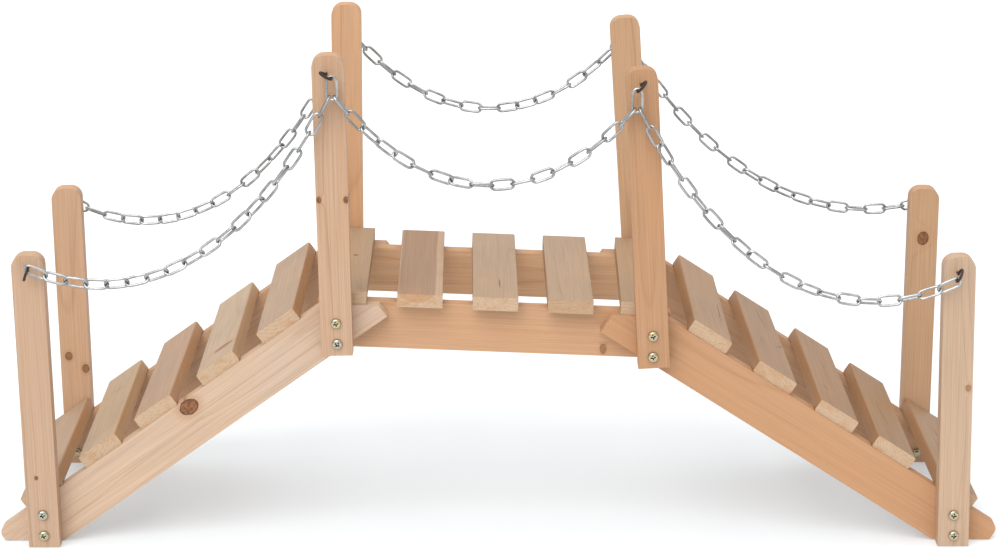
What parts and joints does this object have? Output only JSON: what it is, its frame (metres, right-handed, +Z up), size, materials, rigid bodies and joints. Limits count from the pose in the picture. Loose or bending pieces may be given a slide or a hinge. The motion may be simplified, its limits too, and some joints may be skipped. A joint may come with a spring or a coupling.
{
  "type": "ornamental garden footbridge",
  "caption": "Small wooden garden bridge: a level deck between two slatted ramps, with rounded posts and hanging chain handrails on hooks.",
  "frame": {"origin": "on the ground, at the middle of the bridge's length and width", "axes": "+X along the bridge towards the ramp of lower slope, +Y across it towards the back row of posts, +Z up"},
  "size_m": [1.0015, 0.3294, 0.5],
  "materials": {
    "beam": "sawn and planed softwood, unfinished",
    "post": "planed softwood, unfinished",
    "slat": "planed softwood, unfinished, slightly greyed",
    "chain": "zinc plated",
    "hook": "black lacquer, satin"
  },
  "bodies": {
    "root": {"ramp_beam_left_front": "beam", "ramp_beam_left_back": "beam", "ramp_beam_right_front": "beam", "ramp_beam_right_back": "beam", "deck_beam_front": "beam", "deck_beam_back": "beam", "slat_left_1": "slat", "slat_left_2": "slat", "slat_left_3": "slat", "slat_left_4": "slat", "slat_left_5": "slat", "slat_deck_1": "slat", "slat_deck_2": "slat", "slat_deck_3": "slat", "slat_deck_4": "slat", "slat_deck_5": "slat", "slat_right_1": "slat", "slat_right_2": "slat", "slat_right_3": "slat", "slat_right_4": "slat", "slat_right_5": "slat", "post_end_left_front": "post", "post_end_left_back": "post", "post_mid_left_front": "post", "post_mid_left_back": "post", "post_mid_right_front": "post", "post_mid_right_back": "post", "post_end_right_front": "post", "post_end_right_back": "post", "hook_end_left_front": "hook", "hook_end_left_back": "hook", "hook_mid_left_front": "hook", "hook_mid_left_back": "hook", "hook_mid_right_front": "hook", "hook_mid_right_back": "hook", "hook_end_right_front": "hook", "hook_end_right_back": "hook", "chain_left_front": "chain", "chain_left_back": "chain", "chain_deck_front": "chain", "chain_deck_back": "chain", "chain_right_front": "chain", "chain_right_back": "chain"}
  },
  "joints": []
}
